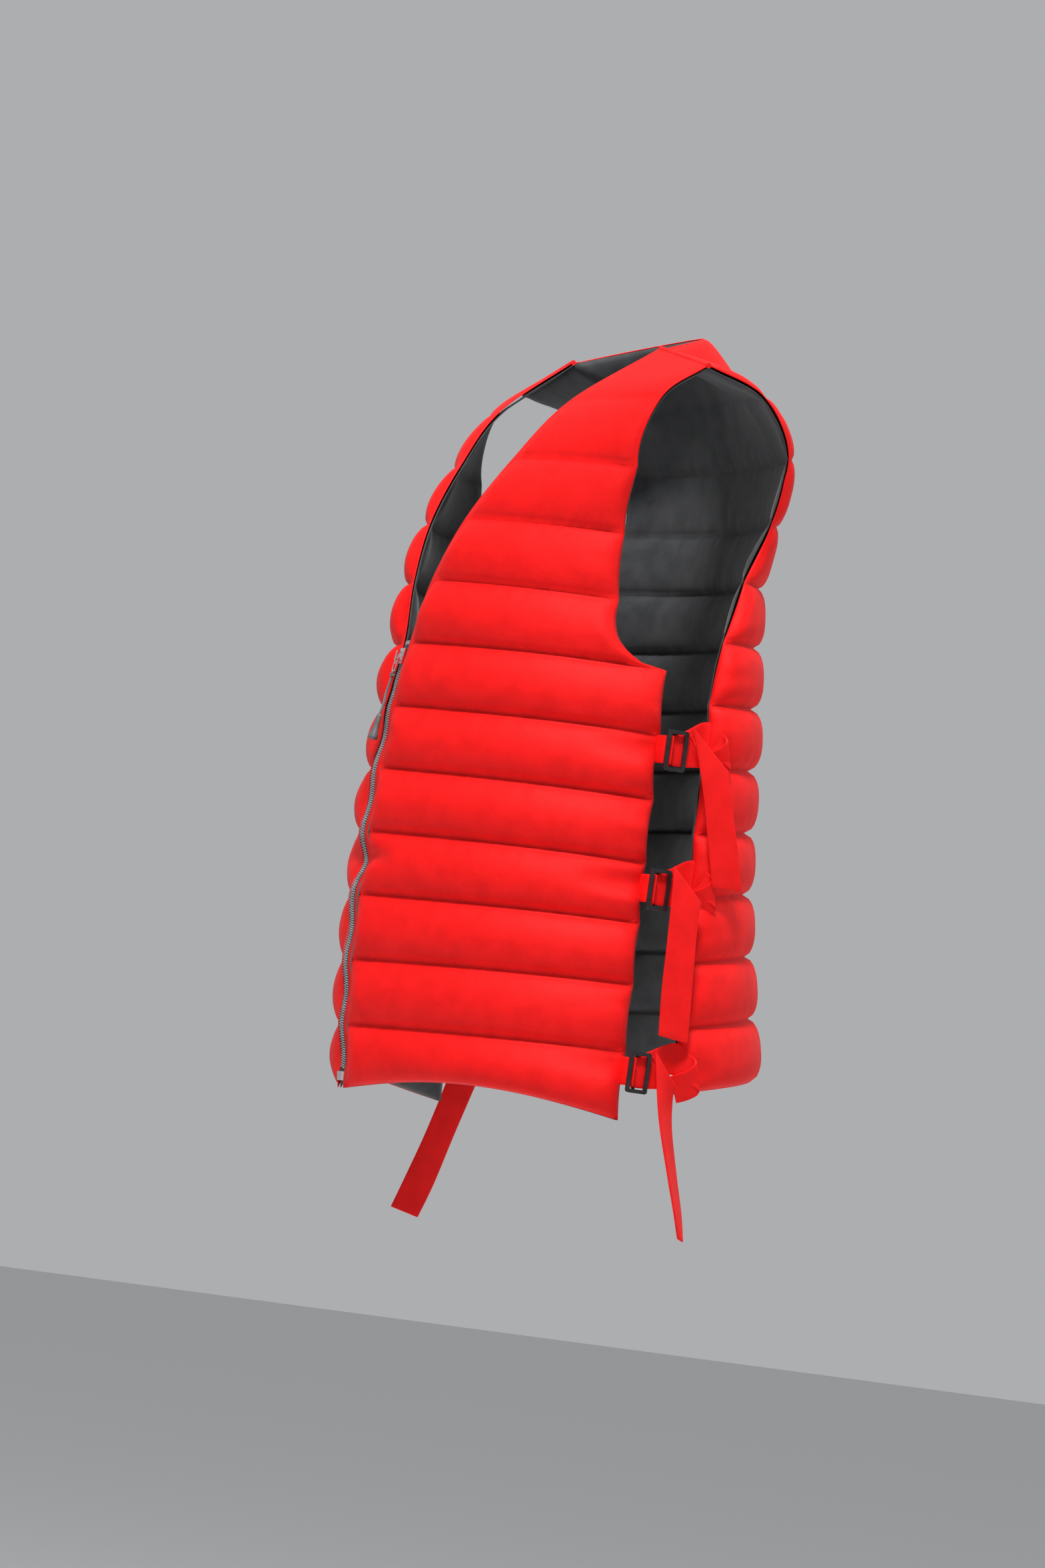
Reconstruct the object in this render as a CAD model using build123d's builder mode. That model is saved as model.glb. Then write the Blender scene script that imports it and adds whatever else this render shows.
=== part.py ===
"""Inflatable life jacket: a quilted, sleeveless, V-neck vest with a front zip
and three adjusting straps on each open side.

Units are millimetres. +Z is up, the wearer faces -Y and the wearer's left is +X.
The origin lies at shoulder level, midway between the two side-neck points.
"""
from build123d import *
import os
from math import cos, pi, sin, sqrt

os.makedirs("parts", exist_ok=True)

# ---------------------------------------------------------------- dimensions
CHANNELS = 12             # inflated channels from hem to shoulder seam
SEAM_HALF = 1.0           # half thickness of the bladder at a welded seam
PUFF = 9.0                # extra half thickness in the middle of a channel
BLADDER_SHARE = 0.85      # share of the puff that the bladder itself fills
FABRIC = 1.2              # shell and lining thickness
FABRIC_GAP = 0.7          # play between the bladder and its fabric
COLUMNS = 10              # columns across a front panel, and across half the back
TAPER = 0.2               # share of a row over which the puff dies out at a sewn edge
END_TAPER = 0.5           # the same, in channels, at the hem and the shoulder
ROWS_PER_CHANNEL = 2

ZIP_RADIUS = 1060.0       # the closed zip follows the belly on this arc
ZIP_CENTRE_Y = 900.0
ZIP_CENTRE_Z = -450.0
ZIP_TOP_Z = -256.0
ZIP_BOTTOM_Z = -612.0
TAPE_INNER = 0.9          # the tapes' facing edges, either side of the centre line
TAPE_WIDTH = 9.0
TAPE_THICK = 0.8
COIL_X = 2.3              # centre line of each coil of teeth
COIL_RADIUS = 1.1
FRONT_EDGE_X = 6.3        # front panel edge beside the zip

SLIDER_Z = -264.0         # top of the slider with the zip closed
SLIDER_LENGTH = 13.0
WEB_LENGTH = 4.0
PLATE_HALF = 4.7
PLATE_THICK = 1.4
FRONT_PLATE = 3.9         # plate centres, outwards from the tape
BACK_PLATE = -1.7
BAIL_AT = 7.0             # pivot of the pull, down from the slider's top
BAIL_HALF = 1.1
PULL_Y = 6.2              # pivot of the pull, outwards from the tape
LOOP_WIRE = 1.3
LOOP_HALF = 3.6
LOOP_LENGTH = 13.0
KNOT_RADIUS = 2.3
CORD_RADIUS = 1.0
CORD_LENGTH = 31.0
CORD_BEND = 10.0
TOGGLE_LENGTH = 21.0

STRAP_WIDTH = 25.0
STRAP_THICK = 1.6
FOLD_RADIUS = 1.5         # rolled fold at the top of a hanging tail
STRAP_HEIGHTS = {"upper": -322.0, "middle": -432.0, "lower": -576.0}
STRAP_OUTER_X = {"upper": 182.5, "middle": 187.0, "lower": 196.5}
BACK_EDGE_X = {"upper": 171.0, "middle": 177.0, "lower": 187.2}
BACK_EDGE_Y = {"upper": 47.5, "middle": 48.5, "lower": 51.6}
FOLD_Y = {"upper": 50.0, "middle": 41.0, "lower": 41.0}
TAIL_X = {"upper": 190.5, "middle": 197.5, "lower": 203.0}
TAIL_LENGTH = {"upper": 118.0, "middle": 125.0, "lower": 135.0}
TAIL_DRIFT = {"upper": (26.0, 26.0), "middle": (6.0, 6.0), "lower": (24.0, -34.0)}  # left, right

BUCKLE_Y = 20.0           # centre bar of each buckle
BUCKLE_LENGTH = 18.0      # along the strap
BUCKLE_BAR = 3.0
BUCKLE_THICK = 2.4
BUCKLE_HEIGHT = STRAP_WIDTH + 1.4 + 2 * BUCKLE_BAR
CENTRE_BAR_RADIUS = 1.3
LAYER_STEP = 5.2          # from the strap's inner layer to its outer layer
FRAME_STEP = 2.6          # from the outer layer's middle to the buckle's frame
LOOP_WIDTH = 22.0
LOOP_THICK = 1.0
LOOP_PLAY = 0.3

VALVE_SEAT = Vector(-76.5, -101.0, -439.0)
VALVE_NORMAL = Vector(0.52, 0.855, 0)
VALVE_STANDOFF = 11.0
VALVE_TUBE_RADIUS = 6.5
VALVE_BORE_RADIUS = 4.6
VALVE_TUBE_LENGTH = 52.0
STEM_TRAVEL = 4.0

NECK_HALF = 90.0          # centre line to the side-neck point
NECK_DEPTH = 62.0         # centre-back neck point behind the side-neck points
NECK_RISE = 24.0
NECK_SHARE = 0.45         # share of the back's top row that is neckline
YOKE_START = 10.0         # channel at which the rows begin to follow the neckline

# Edges of the left half: (channel number, x, y, z), hem = 0, shoulder seam = 12.
FRONT_INNER = [
    (0, FRONT_EDGE_X, -147, -618), (1, FRONT_EDGE_X, -154, -567), (3, FRONT_EDGE_X, -160, -463),
    (5, FRONT_EDGE_X, -157, -361), (6, FRONT_EDGE_X, -152.2, -310), (7, FRONT_EDGE_X + 2, -144, -258),
    (8, 20, -138, -207),
    (9, 38, -124, -156), (10, 56, -98, -104), (11, 73, -64, -53), (12, 90, 0, 0),
]
FRONT_OUTER = [
    (0, 188, 13, -615), (2, 182, 13, -508), (4, 176, 12, -412), (6, 171, 11, -311),
    (7, 164, -4, -258), (8, 158, -28, -209), (9, 158, -36, -157),
    (10, 166, -37, -104), (11, 178, -30, -50), (12, 192, 0, -20),
]
BACK_INNER = [
    (0, 0, 183, -562), (1, 0, 170, -514), (3, 0, 147, -417), (5, 0, 135, -320), (7, 0, 125, -223),
    (9, 0, 125, -126), (10, 0, 121, -74), (11, 0, 100, -20), (12, 0, NECK_DEPTH, NECK_RISE),
]
BACK_OUTER = [
    (0, 188, 55, -589), (2, 182, 53, -486), (4, 175, 49, -384), (6, 169, 50, -281), (7, 163, 56, -231),
    (8, 155, 71, -180), (9, 150, 90, -128), (10, 160, 92, -76), (11, 180, 56, -35), (12, 192, 0, -20),
]
# channel, bow of the row at its inner end, bow at its outer end
FRONT_BOW = [(0, 0.35, 0.92), (4, 0.35, 0.92), (6, 0.5, 0.92), (7, 0.68, 0.92), (9, 0.6, 0.6), (12, 0.0, 0.0)]
BACK_BOW = [(0, 0.92, 0.92), (8, 0.9, 0.9), (10, 0.6, 0.6), (12, 0.0, 0.0)]


# ------------------------------------------------------------ panel geometry
def along(table, t):
    """Smooth value of a table at t: cubic pieces with shared slopes."""
    count = len(table)
    last = max(i for i in range(count - 1) if table[i][0] <= t or i == 0)
    spans = [table[i + 1][0] - table[i][0] for i in range(count - 1)]
    s = (t - table[last][0]) / spans[last]
    values = []
    for axis in range(1, len(table[0])):
        chord = [(table[i + 1][axis] - table[i][axis]) / spans[i] for i in range(count - 1)]
        ends = []
        for i in (last, last + 1):
            if i in (0, count - 1):
                ends.append(chord[min(i, count - 2)])
            else:
                ends.append((chord[i - 1] * spans[i] + chord[i] * spans[i - 1]) / (spans[i - 1] + spans[i]))
        p0, p1 = table[last][axis], table[last + 1][axis]
        m0, m1 = ends[0] * spans[last], ends[1] * spans[last]
        values.append((2 * s**3 - 3 * s**2 + 1) * p0 + (s**3 - 2 * s**2 + s) * m0
                      + (3 * s**2 - 2 * s**3) * p1 + (s**3 - s**2) * m1)
    return values


def top_row_shift(u, straight):
    """Move from the back's straight top row to the neckline and shoulder seam."""
    tip = BACK_OUTER[-1][1:]
    if u < NECK_SHARE:
        turn = u / NECK_SHARE * pi / 2
        top = Vector(NECK_HALF * sin(turn), NECK_DEPTH * cos(turn), NECK_RISE * cos(turn))
    else:
        share = (u - NECK_SHARE) / (1 - NECK_SHARE)
        top = Vector(NECK_HALF + (tip[0] - NECK_HALF) * share, tip[1] * share, tip[2] * share)
    return top - straight


def mid_point(panel, u, t):
    """Middle surface of a panel: u runs from the inner edge to the outer one."""
    inner, outer, bow = panel
    a, b = along(inner, t), along(outer, t)
    near, far = along(bow, t)
    side = -1 if u < 0 else 1
    u = abs(u)
    k = near + (far - near) * u
    turn = u * pi / 2
    x = a[0] + (b[0] - a[0]) * ((1 - k) * u + k * sin(turn))
    y = a[1] + (b[1] - a[1]) * ((1 - k) * u + k * (1 - cos(turn)))
    point = Vector(x, y, a[2] + (b[2] - a[2]) * u)
    if panel is BACK and t > YOKE_START:
        neck, tip = Vector(BACK_INNER[-1][1:]), Vector(BACK_OUTER[-1][1:])
        share = (t - YOKE_START) / (CHANNELS - YOKE_START)
        point += top_row_shift(u, neck + (tip - neck) * u) * share**2
    return Vector(side * point.X, point.Y, point.Z)


def puffed_point(panel, u, t, base, share):
    """Point off the middle surface by base plus share of the channel's puff."""
    step = 0.01
    across = mid_point(panel, min(u + step, 1), t) - mid_point(panel, max(u - step, -1), t)
    up = mid_point(panel, u, min(t + step, CHANNELS)) - mid_point(panel, u, max(t - step, 0))
    normal = across.cross(up).normalized()
    edge = min(1.0, (1 - abs(u)) / TAPER, t / END_TAPER, (CHANNELS - t) / END_TAPER)
    if panel is FRONT:
        edge = min(edge, u / TAPER)
    swell = sin(edge * pi / 2)
    outwards = 1 if panel is FRONT else -1
    return mid_point(panel, u, t) + normal * (outwards * (base + share * PUFF * swell))


def slab(panel, u_values, t_range, low, high):
    """Closed solid between two puffed copies of a panel's middle surface."""
    count = round((t_range[1] - t_range[0]) * ROWS_PER_CHANNEL)
    t_values = [t_range[0] + (t_range[1] - t_range[0]) * i / count for i in range(count + 1)]
    faces = []
    for base, share in (low, high):
        grid = [[puffed_point(panel, u, t, base, share) for t in t_values] for u in u_values]
        faces.append(Face.make_surface_from_array_of_points(grid, tol=0.05, min_deg=3))
    sides = []
    for first in faces[0].edges():
        second = faces[1].edges().sort_by(lambda edge: (edge.center() - first.center()).length)[0]
        sides.append(Face.make_surface_from_curves(first, second))
    return Solid(Shell(faces + sides))


FRONT = (FRONT_INNER, FRONT_OUTER, FRONT_BOW)
BACK = (BACK_INNER, BACK_OUTER, BACK_BOW)
FRONT_U = [i / COLUMNS for i in range(COLUMNS + 1)]
BACK_U = [i / COLUMNS for i in range(-COLUMNS, COLUMNS + 1)]
FULL = (0.0, 11.93)
INNER = (0.25, 11.5)
SHELL = (SEAM_HALF + FABRIC_GAP, 1), (SEAM_HALF + FABRIC_GAP + FABRIC, 1)
LINING = (-SEAM_HALF - FABRIC_GAP - FABRIC, -1), (-SEAM_HALF - FABRIC_GAP, -1)
BLADDER = (-SEAM_HALF, -BLADDER_SHARE), (SEAM_HALF, BLADDER_SHARE)


def finish(part, name):
    """Label a finished piece and write it."""
    part.label = name
    export_step(part, f"parts/{name}.step")


def build_panel_layer(name, panel, u_values, t_range, layer, mirrored=False):
    """One fabric or bladder layer of a panel, mirrored for the wearer's right."""
    with BuildPart() as piece:
        add(slab(panel, u_values, t_range, *layer))
        if mirrored:
            mirror(about=Plane.YZ, mode=Mode.REPLACE)
    finish(piece.part, name)


def build_panels():
    """Shell, air bladder and lining of the two fronts and the back."""
    for side, mirrored in (("left", False), ("right", True)):
        build_panel_layer(f"front_{side}_shell", FRONT, FRONT_U, FULL, SHELL, mirrored)
        build_panel_layer(f"front_{side}_lining", FRONT, FRONT_U, FULL, LINING, mirrored)
        build_panel_layer(f"front_{side}_air_bladder", FRONT, FRONT_U[1:-1], INNER, BLADDER, mirrored)
    build_panel_layer("back_shell", BACK, BACK_U, FULL, SHELL)
    build_panel_layer("back_lining", BACK, BACK_U, FULL, LINING)
    build_panel_layer("back_air_bladder", BACK, BACK_U[1:-1], INNER, BLADDER)


# ----------------------------------------------------------------------- zip
def zip_point(z):
    """The y of the zip's arc at height z."""
    return ZIP_CENTRE_Y - sqrt(ZIP_RADIUS**2 - (z - ZIP_CENTRE_Z) ** 2)


def zip_plane(z):
    """Plane across the zip at height z: local x to the left, local y outwards."""
    point = Vector(0, zip_point(z), z)
    outwards = (point - Vector(0, ZIP_CENTRE_Y, ZIP_CENTRE_Z)).normalized()
    return Plane(origin=point, x_dir=(1, 0, 0), z_dir=Vector(1, 0, 0).cross(outwards))


def build_zip_tapes():
    """Woven tape either side of the centre line, tucked under the panel edges."""
    for side, sign in (("left", 1), ("right", -1)):
        start = TAPE_INNER if sign > 0 else -TAPE_INNER - TAPE_WIDTH
        with BuildPart() as tape:
            with BuildSketch(Plane.YZ.offset(start)):
                with BuildLine():
                    ThreePointArc(
                        (zip_point(ZIP_BOTTOM_Z), ZIP_BOTTOM_Z),
                        (ZIP_CENTRE_Y - ZIP_RADIUS, ZIP_CENTRE_Z),
                        (zip_point(ZIP_TOP_Z), ZIP_TOP_Z),
                    )
                trace(line_width=TAPE_THICK)
            extrude(amount=TAPE_WIDTH)
        finish(tape.part, f"zip_tape_{side}")


def build_zip_teeth():
    """Envelope of each coil of teeth, on the outer face of its tape."""
    reach = TAPE_THICK / 2 + COIL_RADIUS + 0.02
    low, high = ZIP_BOTTOM_Z + 8, ZIP_TOP_Z - 6
    bottom = zip_plane(low)
    crown = (ZIP_CENTRE_Y - ZIP_RADIUS, ZIP_CENTRE_Z)
    for side, sign in (("left", 1), ("right", -1)):
        with BuildPart() as teeth:
            with BuildLine(Plane.YZ.offset(sign * COIL_X)):
                ThreePointArc(
                    (zip_point(low) - reach, low),
                    (crown[0] - reach, crown[1]),
                    (zip_point(high) - reach, high),
                )
            section = Plane(
                origin=(sign * COIL_X, zip_point(low) - reach, low), x_dir=(1, 0, 0), z_dir=bottom.z_dir
            )
            with BuildSketch(section):
                Circle(COIL_RADIUS)
            sweep()
        finish(teeth.part, f"zip_teeth_{side}")


def build_zip_ends():
    """Crimped top stops, and the moulded box that joins the tapes at the bottom."""
    slot = TAPE_THICK + 0.1
    with BuildPart() as stops:
        with BuildSketch(zip_plane(ZIP_TOP_Z - 4)):
            for sign in (-1, 1):
                with Locations((sign * 2.0, 0)):
                    Rectangle(3.2, 4.0)
                with Locations((sign * 2.4, 0)):
                    Rectangle(3.0, slot, mode=Mode.SUBTRACT)
        extrude(amount=-3.0)
    finish(stops.part, "zip_top_stops")
    with BuildPart() as box:
        with BuildSketch(zip_plane(ZIP_BOTTOM_Z)):
            RectangleRounded(11.4, 5.0, 0.9)
            for sign in (-1, 1):
                with Locations((sign * (TAPE_INNER + 3), 0)):
                    Rectangle(6.1, slot, mode=Mode.SUBTRACT)
        extrude(amount=-7.0)
    finish(box.part, "zip_bottom_box")


def build_slider():
    """Slider: front and back plates joined by a web that runs between the tapes."""
    plane = zip_plane(SLIDER_Z)
    with BuildPart() as slider:
        with BuildSketch(plane):
            for centre in (FRONT_PLATE, BACK_PLATE):
                with Locations((0, centre)):
                    RectangleRounded(2 * PLATE_HALF, PLATE_THICK, 0.5)
            for sign in (-1, 1):
                with Locations((sign * (PLATE_HALF - 0.5), FRONT_PLATE - 1.5)):
                    Rectangle(1.0, 3.0)
        extrude(amount=SLIDER_LENGTH)
        with BuildSketch(plane):
            with Locations((0, (FRONT_PLATE + BACK_PLATE) / 2)):
                Rectangle(1.0, FRONT_PLATE - BACK_PLATE)
        extrude(amount=WEB_LENGTH)
        with BuildSketch(Plane(plane.origin, x_dir=plane.z_dir, z_dir=plane.x_dir).offset(-BAIL_HALF)):
            with Locations((BAIL_AT, -PULL_Y)):
                Rectangle(8.0, 4.4)
                Rectangle(5.0, 2.4, mode=Mode.SUBTRACT)
        extrude(amount=2 * BAIL_HALF)
    finish(slider.part, "zip_slider_body")


def pull_plane():
    """Plane through the pull's pivot: local x to the left, local y downwards."""
    plane = zip_plane(SLIDER_Z)
    pivot = plane.origin + plane.z_dir * BAIL_AT + plane.y_dir * PULL_Y
    return Plane(pivot, x_dir=(1, 0, 0), z_dir=plane.y_dir * -1)


def build_pull():
    """Loop in the slider's bail, then a knotted cord with a moulded toggle."""
    plane = pull_plane()
    with BuildPart() as loop:
        with BuildSketch(plane.offset(-LOOP_WIRE / 2)):
            with Locations((0, LOOP_LENGTH / 2)):
                RectangleRounded(2 * LOOP_HALF, LOOP_LENGTH + LOOP_WIRE, LOOP_HALF - 0.6)
                RectangleRounded(
                    2 * (LOOP_HALF - LOOP_WIRE), LOOP_LENGTH - LOOP_WIRE, 1.9, mode=Mode.SUBTRACT
                )
        extrude(amount=LOOP_WIRE)
    finish(loop.part, "zip_pull_loop")
    knot_at = LOOP_LENGTH + LOOP_WIRE / 2 + KNOT_RADIUS
    with BuildPart() as knot:
        with BuildSketch(plane):
            with Locations((0, knot_at)):
                Circle(KNOT_RADIUS)
                with Locations((-KNOT_RADIUS, 0)):
                    Rectangle(2 * KNOT_RADIUS, 2 * KNOT_RADIUS, mode=Mode.SUBTRACT)
        revolve(axis=Axis(plane.origin, plane.y_dir))
    finish(knot.part, "zip_pull_knot")
    cord_at = knot_at + KNOT_RADIUS
    route = [(0, cord_at), (-1.2, cord_at + 9), (1.0, cord_at + 18), (0, cord_at + CORD_LENGTH)]
    with BuildPart() as cord:
        with BuildLine(plane):
            FilletPolyline(*route, radius=CORD_BEND)
        start = plane.from_local_coords(Vector(*route[0]))
        second = plane.from_local_coords(Vector(*route[1]))
        with BuildSketch(Plane(start, z_dir=second - start)):
            Circle(CORD_RADIUS)
        sweep()
    finish(cord.part, "zip_pull_cord")
    toggle_at = cord_at + CORD_LENGTH + 0.1
    profile = [(0, 0), (2.4, 0), (3.0, 1.5), (3.0, 9), (4.3, 19), (3.8, TOGGLE_LENGTH), (0, TOGGLE_LENGTH)]
    with BuildPart() as toggle:
        with BuildSketch(plane):
            with BuildLine():
                Polyline(*[(x, toggle_at + y) for x, y in profile], close=True)
            make_face()
        revolve(axis=Axis(plane.origin, plane.y_dir))
    finish(toggle.part, "zip_pull_toggle")


# ------------------------------------------------------------- side straps
def build_side_strap(level, side, sign):
    """Webbing from the back edge, round the buckle's centre bar and out again."""
    outer_x = STRAP_OUTER_X[level]
    inner_x = outer_x - LAYER_STEP
    turn_x = outer_x - LAYER_STEP / 2
    height = STRAP_HEIGHTS[level]
    with BuildPart() as strap:
        with BuildSketch(Plane.XY.offset(height - STRAP_WIDTH / 2)):
            with BuildLine():
                Polyline(
                    (sign * BACK_EDGE_X[level], BACK_EDGE_Y[level]),
                    (sign * inner_x, BUCKLE_Y + 12), (sign * inner_x, BUCKLE_Y)
                )
                ThreePointArc(
                    (sign * inner_x, BUCKLE_Y), (sign * turn_x, BUCKLE_Y - LAYER_STEP / 2),
                    (sign * outer_x, BUCKLE_Y)
                )
                Line((sign * outer_x, BUCKLE_Y), (sign * outer_x, FOLD_Y[level] + STRAP_WIDTH / 2))
            trace(line_width=STRAP_THICK)
        extrude(amount=STRAP_WIDTH)
    finish(strap.part, f"{level}_strap_{side}")


def build_strap_tail(level, side, sign):
    """Free end of a strap, hanging from its fold outside the strap."""
    face_x = TAIL_X[level]
    start = face_x if sign > 0 else -face_x - STRAP_THICK
    top, drift = STRAP_HEIGHTS[level], TAIL_DRIFT[level][0 if sign > 0 else 1]
    half, low = STRAP_WIDTH / 2, STRAP_HEIGHTS[level] - TAIL_LENGTH[level]
    centre = FOLD_Y[level]
    with BuildPart() as tail:
        with BuildSketch(Plane.YZ.offset(start)):
            with BuildLine():
                Polyline(
                    (centre - half, top), (centre + half, top), (centre + half + drift, low),
                    (centre - half + drift, low), close=True
                )
            make_face()
        extrude(amount=STRAP_THICK)
        with Locations(Location((start + STRAP_THICK / 2, centre, top), (90, 0, 0))):
            Cylinder(FOLD_RADIUS, STRAP_WIDTH)
    finish(tail.part, f"{level}_strap_tail_{side}")


def build_buckle(level, side, sign):
    """Tri-glide: a frame outside the strap and a centre bar behind it."""
    frame_x = STRAP_OUTER_X[level] + FRAME_STEP
    start = frame_x if sign > 0 else -frame_x - BUCKLE_THICK
    bar_x = sign * (STRAP_OUTER_X[level] - LAYER_STEP / 2)
    height = STRAP_HEIGHTS[level]
    rail_z = (BUCKLE_HEIGHT - BUCKLE_BAR) / 2
    with BuildPart() as buckle:
        with BuildSketch(Plane.YZ.offset(start)):
            with Locations((BUCKLE_Y, height)):
                RectangleRounded(BUCKLE_LENGTH, BUCKLE_HEIGHT, 2.2)
                RectangleRounded(
                    BUCKLE_LENGTH - 2 * BUCKLE_BAR, BUCKLE_HEIGHT - 2 * BUCKLE_BAR, 0.8, mode=Mode.SUBTRACT
                )
        extrude(amount=BUCKLE_THICK)
        reach = frame_x + BUCKLE_THICK / 2 - abs(bar_x) + CENTRE_BAR_RADIUS
        post_x = sign * (abs(bar_x) - CENTRE_BAR_RADIUS + reach / 2)
        for end in (-1, 1):
            with Locations((post_x, BUCKLE_Y, height + end * rail_z)):
                Box(reach, 5.0, BUCKLE_BAR)
        with Locations((bar_x, BUCKLE_Y, height)):
            Cylinder(CENTRE_BAR_RADIUS, 2 * rail_z)
    finish(buckle.part, f"{level}_buckle_{side}")


def build_anchor_loop(level, side, sign):
    """Webbing round the buckle's front bar, with the end that is sewn to the panel."""
    bar_x = sign * (STRAP_OUTER_X[level] + FRAME_STEP + BUCKLE_THICK / 2)
    bar_y = BUCKLE_Y - (BUCKLE_LENGTH - BUCKLE_BAR) / 2
    hole = BUCKLE_THICK + 2 * LOOP_PLAY, BUCKLE_BAR + 2 * LOOP_PLAY
    inner_wall = bar_x - sign * (hole[0] + LOOP_THICK) / 2
    with BuildPart() as loop:
        with BuildSketch(Plane.XY.offset(STRAP_HEIGHTS[level] - LOOP_WIDTH / 2)):
            with Locations((bar_x, bar_y)):
                Rectangle(hole[0] + 2 * LOOP_THICK, hole[1] + 2 * LOOP_THICK)
            with Locations((inner_wall, bar_y - 4.0)):
                Rectangle(LOOP_THICK, 4.0)
            with Locations((bar_x, bar_y)):
                Rectangle(*hole, mode=Mode.SUBTRACT)
        extrude(amount=LOOP_WIDTH)
    finish(loop.part, f"{level}_anchor_loop_{side}")


# ---------------------------------------------------- oral inflation valve
def build_valve():
    """Mouthpiece valve on the inner face of the right front panel."""
    seat = Plane(VALVE_SEAT, z_dir=VALVE_NORMAL)
    tube_at = seat.origin + seat.z_dir * VALVE_STANDOFF
    tube = Plane(tube_at - Vector(0, 0, 12), z_dir=(0, 0, 1))
    with BuildPart() as body:
        with BuildSketch(seat):
            Circle(12)
        extrude(amount=2)
        with BuildSketch(seat):
            Circle(5)
        extrude(amount=VALVE_STANDOFF - 2)
        with BuildSketch(tube):
            Circle(VALVE_TUBE_RADIUS)
        extrude(amount=VALVE_TUBE_LENGTH)
        with BuildSketch(tube.offset(8)):
            Circle(VALVE_BORE_RADIUS)
        extrude(amount=VALVE_TUBE_LENGTH, mode=Mode.SUBTRACT)
    finish(body.part, "valve_body")
    with BuildPart() as stem:
        with BuildSketch(tube.offset(8 + STEM_TRAVEL + 1)):
            Circle(VALVE_BORE_RADIUS - 0.4)
        extrude(amount=VALVE_TUBE_LENGTH - 8)
    finish(stem.part, "valve_stem")
    cap_low = VALVE_TUBE_LENGTH - 10
    with BuildPart() as cap:
        with BuildSketch(tube.offset(cap_low)):
            Circle(VALVE_TUBE_RADIUS + 2.0)
        extrude(amount=20)
        with BuildSketch(tube.offset(cap_low)):
            Circle(VALVE_TUBE_RADIUS + 0.4)
        extrude(amount=18, mode=Mode.SUBTRACT)
    finish(cap.part, "valve_cap")


build_panels()
build_zip_tapes()
build_zip_teeth()
build_zip_ends()
build_slider()
build_pull()
for strap_level in STRAP_HEIGHTS:
    for strap_side, strap_sign in (("left", 1), ("right", -1)):
        build_side_strap(strap_level, strap_side, strap_sign)
        build_strap_tail(strap_level, strap_side, strap_sign)
        build_buckle(strap_level, strap_side, strap_sign)
        build_anchor_loop(strap_level, strap_side, strap_sign)
build_valve()
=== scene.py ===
"""Looks of the inflatable life jacket: quilted shells and linings, zip, straps and tails.

Metres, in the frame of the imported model: +Z up, the wearer faces -Y, the wearer's left is +X.
"""

from math import cos, exp, floor, pi, radians, sin, sqrt

import bpy
from mathutils import Matrix, Vector, noise


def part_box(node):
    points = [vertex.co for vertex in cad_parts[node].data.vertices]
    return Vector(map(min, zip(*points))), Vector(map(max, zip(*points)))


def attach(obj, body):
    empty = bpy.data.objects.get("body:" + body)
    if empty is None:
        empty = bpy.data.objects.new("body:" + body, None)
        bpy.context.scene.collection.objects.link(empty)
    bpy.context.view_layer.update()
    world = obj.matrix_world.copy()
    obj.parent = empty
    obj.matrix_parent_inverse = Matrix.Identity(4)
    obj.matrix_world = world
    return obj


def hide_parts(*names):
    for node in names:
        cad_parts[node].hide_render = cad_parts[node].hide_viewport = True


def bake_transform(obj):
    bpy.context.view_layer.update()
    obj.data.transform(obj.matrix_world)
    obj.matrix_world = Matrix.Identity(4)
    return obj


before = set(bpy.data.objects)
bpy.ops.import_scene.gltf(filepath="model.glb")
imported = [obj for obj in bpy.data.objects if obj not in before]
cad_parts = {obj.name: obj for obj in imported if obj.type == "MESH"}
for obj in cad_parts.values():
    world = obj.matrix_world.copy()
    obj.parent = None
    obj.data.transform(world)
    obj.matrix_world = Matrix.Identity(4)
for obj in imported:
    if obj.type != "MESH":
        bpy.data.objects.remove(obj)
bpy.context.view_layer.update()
MM = 0.001

# ---------------------------------------------------------------- dimensions (mm)
CHANNELS = 12
PUFF = {"front": 11.5, "back": 9.5}   # height of a channel's crown over the seams
LINING_PUFF = 8.5
RIM = 6.0                 # flat sewn rim from an inner edge to its topstitching
OUTER_RIM = 1.5
RIM_HALF = 1.5            # half thickness of the rim
END_ROUND = 18.0          # length over which a channel rises from its inner rim
OUTER_ROUND = 13.0
SLACK = 42.0              # longer rise beside the zip on the wearer's right, below the chest
ROWS = 14                 # mesh rows to a channel
FRONT_COLUMNS = 64
BACK_COLUMNS = 60
FABRIC = 0.7
FRONT_HEM_Z, FRONT_STEP = -618, 51.3   # lowest seam and the distance between seams
BACK_HEM_Z, BACK_STEP = -589, 51.5
SEAM_STEP = 51            # seam distance used for the puckers

ZIP_RADIUS, ZIP_CENTRE_Y, ZIP_CENTRE_Z = 1060.0, 900.0, -450.0
ZIP_TOP, ZIP_BOTTOM = -256.0, -612.0
ZIP_EDGE = 5.6            # panel edge beside the zip
HEM_ARCH = 13.0           # rise of the front hem between its corners

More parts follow.
